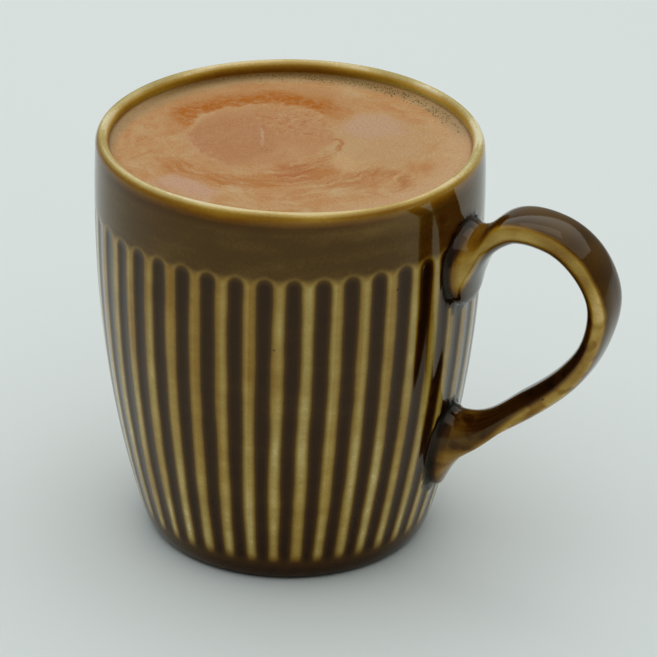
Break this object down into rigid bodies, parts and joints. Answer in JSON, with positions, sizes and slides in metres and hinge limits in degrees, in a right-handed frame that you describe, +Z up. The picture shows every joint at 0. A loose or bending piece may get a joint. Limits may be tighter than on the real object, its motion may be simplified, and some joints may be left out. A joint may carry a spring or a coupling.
{
  "type": "cup of caffe mocha",
  "caption": "Fluted stoneware mug with an amber-brown glaze and a looped strap handle, filled to just under its lip with caffe mocha.",
  "frame": {"origin": "middle of the mug's foot, in the plane that it stands on, on the axis of the turned body", "axes": "+Z up along the body's axis; +X from the axis to the handle; +Y to the left of the handle seen from the handle's side"},
  "size_m": [0.1194, 0.0846, 0.0931],
  "materials": {
    "amber_glazed_stoneware": "gloss amber-brown glaze, honey yellow where thin on ridges and lip, near black where pooled",
    "caffe_mocha": "milky brown liquid with a thin skin of fine foam"
  },
  "bodies": {
    "root": {"mug": "amber_glazed_stoneware", "mocha": "caffe_mocha"}
  },
  "joints": []
}
